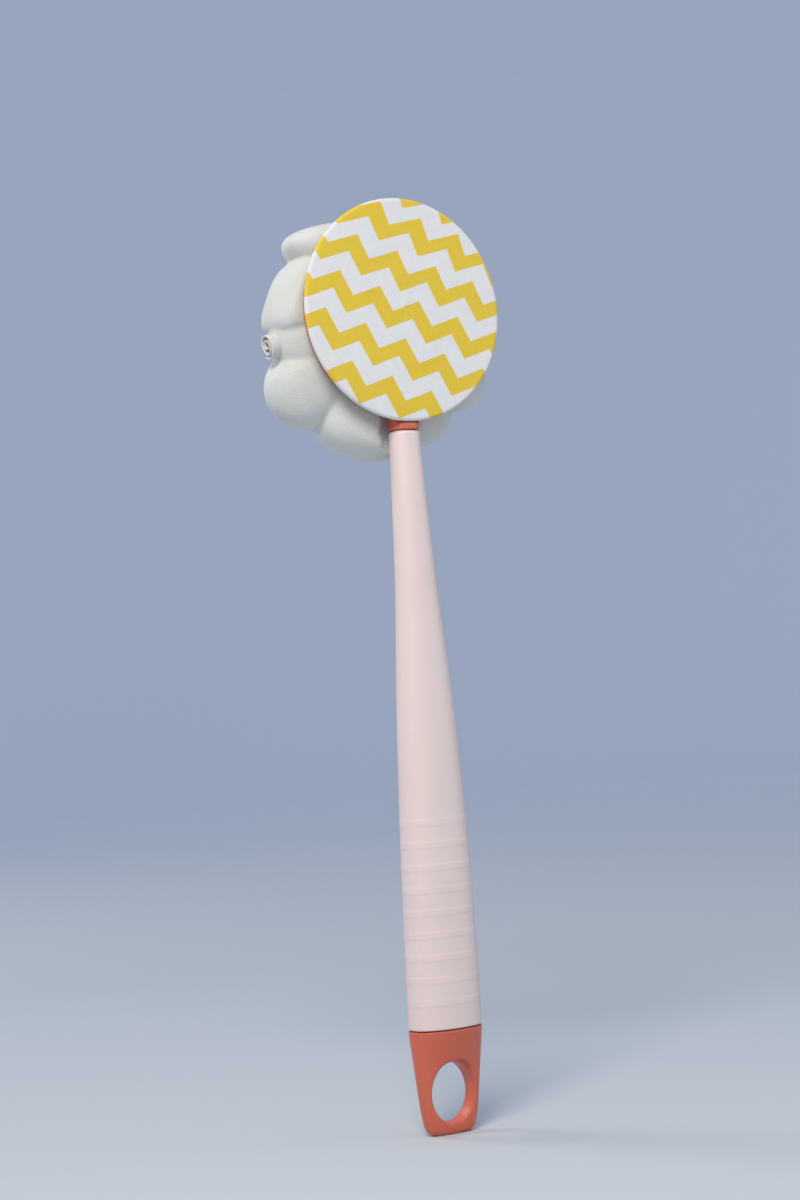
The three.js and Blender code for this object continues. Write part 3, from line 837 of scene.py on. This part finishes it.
def sweep():
    """A pale floor that turns up softly all round, well outside the camera's widest round."""
    sides, flat, bend = STAGE["sides"], STAGE["flat"], STAGE["bend"]
    profile = [(0.01, 0), (flat / 2, 0), (flat, 0)]
    profile += [(flat + bend * math.sin(a), bend * (1 - math.cos(a)))
                for a in np.linspace(0.06, math.pi / 2, 18)]
    turn = np.linspace(0, 2 * math.pi, sides, endpoint=False)
    rings = [np.stack([r * np.cos(turn), r * np.sin(turn), np.full(sides, z)], 1) for r, z in profile]
    points = np.concatenate(rings)
    floor = mesh_object("stage_floor", points, ring_faces(len(rings), sides) + [tuple(range(sides))[::-1]])
    s = Shader("stage_pale", Roughness=0.85, Specular_IOR_Level=0.2)
    away = s.add("ShaderNodeVectorMath", {0: s.place}, operation="LENGTH").outputs["Value"]
    cloud = s.math("MULTIPLY", s.noise(1.5, 2), 0.04)
    s.put(s.skin, "Base Color", s.mix(s.math("ADD", s.remap(away, *STAGE_FADE, 0, 1), cloud),
                                      FLOOR_COLOUR, WALL_COLOUR))
    floor.data.materials.append(s.material)


def area_light(name, place, aim, size, watts, colour):
    """A round soft light at a place, turned towards its aim."""
    data = bpy.data.lights.new(name, "AREA")
    data.shape, data.size, data.energy, data.color = "DISK", size, watts, colour
    lamp = bpy.data.objects.new(name, data)
    lamp.location = place
    lamp.rotation_mode = "QUATERNION"
    lamp.rotation_quaternion = (Vector(aim) - Vector(place)).to_track_quat("-Z", "Y")
    bpy.context.scene.collection.objects.link(lamp)


def lights():
    """A softly lit room, and a key, a fill and a back light aimed at the brush."""
    world = bpy.data.worlds.new("soft_room")
    world.use_nodes = True
    background = world.node_tree.nodes["Background"]
    background.inputs["Color"].default_value = ROOM_COLOUR
    background.inputs["Strength"].default_value = ROOM_STRENGTH
    bpy.context.scene.world = world
    bpy.context.scene.view_settings.view_transform = "Standard"
    aim = (0, 0, HEAD_CENTRE.z * LIGHTS_AIM)
    for name, light in (("key", KEY_LIGHT), ("fill", FILL_LIGHT), ("back", BACK_LIGHT)):
        place, size, watts, colour = light
        area_light(name, place, aim, size, watts, colour)


def camera():
    """The photograph's view: from the left of the pad, a little below its aim, and rolled, so that
    the brush leans in the picture."""
    azimuth, elevation, roll = (math.radians(CAMERA[turn]) for turn in ("azimuth", "elevation", "roll"))
    back = Vector((math.sin(azimuth) * math.cos(elevation), -math.cos(azimuth) * math.cos(elevation),
                   math.sin(elevation)))
    data = bpy.data.cameras.new("camera")
    data.lens, data.sensor_width, data.clip_start = CAMERA["lens"], CAMERA["sensor"], CAMERA["nearest"]
    view = bpy.data.objects.new("camera", data)
    view.location = Vector(CAMERA["aim"]) + back * CAMERA["distance"]
    view.rotation_mode = "QUATERNION"
    view.rotation_quaternion = (-back).to_track_quat("-Z", "Y") @ Quaternion((0, 0, 1), roll)
    bpy.context.scene.collection.objects.link(view)
    bpy.context.scene.camera = view


def finish_piece(piece, material, node):
    """Gives a piece its material and body, and hides the CAD node that it stands in for."""
    piece.data.materials.clear()
    piece.data.materials.append(material)
    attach(piece, BODY)
    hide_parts(node)


camera()
lights()
sweep()

pink = plastic("pink_plastic", PINK, roughness=0.42)
coral = plastic("coral_plastic", CORAL, roughness=0.38)
finish_piece(handle(), pink, "handle_shell")
finish_piece(cap(), coral, "end_cap")
finish_piece(plate(), coral, "head_plate")

foam, cloth = pad()
finish_piece(foam, foam_material(), "pad_foam")
finish_piece(cloth, print_material(), "pad_fabric")

net = net_material()
inner_net = net_length("net_pouf_inner", INNER_LOBES, root_y=10, seed=3)
roll_points, roll_faces = net_roll()
inner_net = with_more(inner_net, roll_points * MM, roll_faces)
nets = [
    (inner_net, "net_length_inner"),
    (net_length("net_pouf_middle", MIDDLE_LOBES, root_y=22, seed=33), "net_length_middle"),
    (net_length("net_pouf_outer", OUTER_LOBES, root_y=33, seed=53), "net_length_outer"),
]
for pouf, node in nets:
    finish_piece(pouf, net, node)

for node, material in (("tie_cord", cord_material()), ("pad_adhesive", adhesive_material())):
    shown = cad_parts[node]
    shown.data.materials.clear()
    shown.data.materials.append(material)
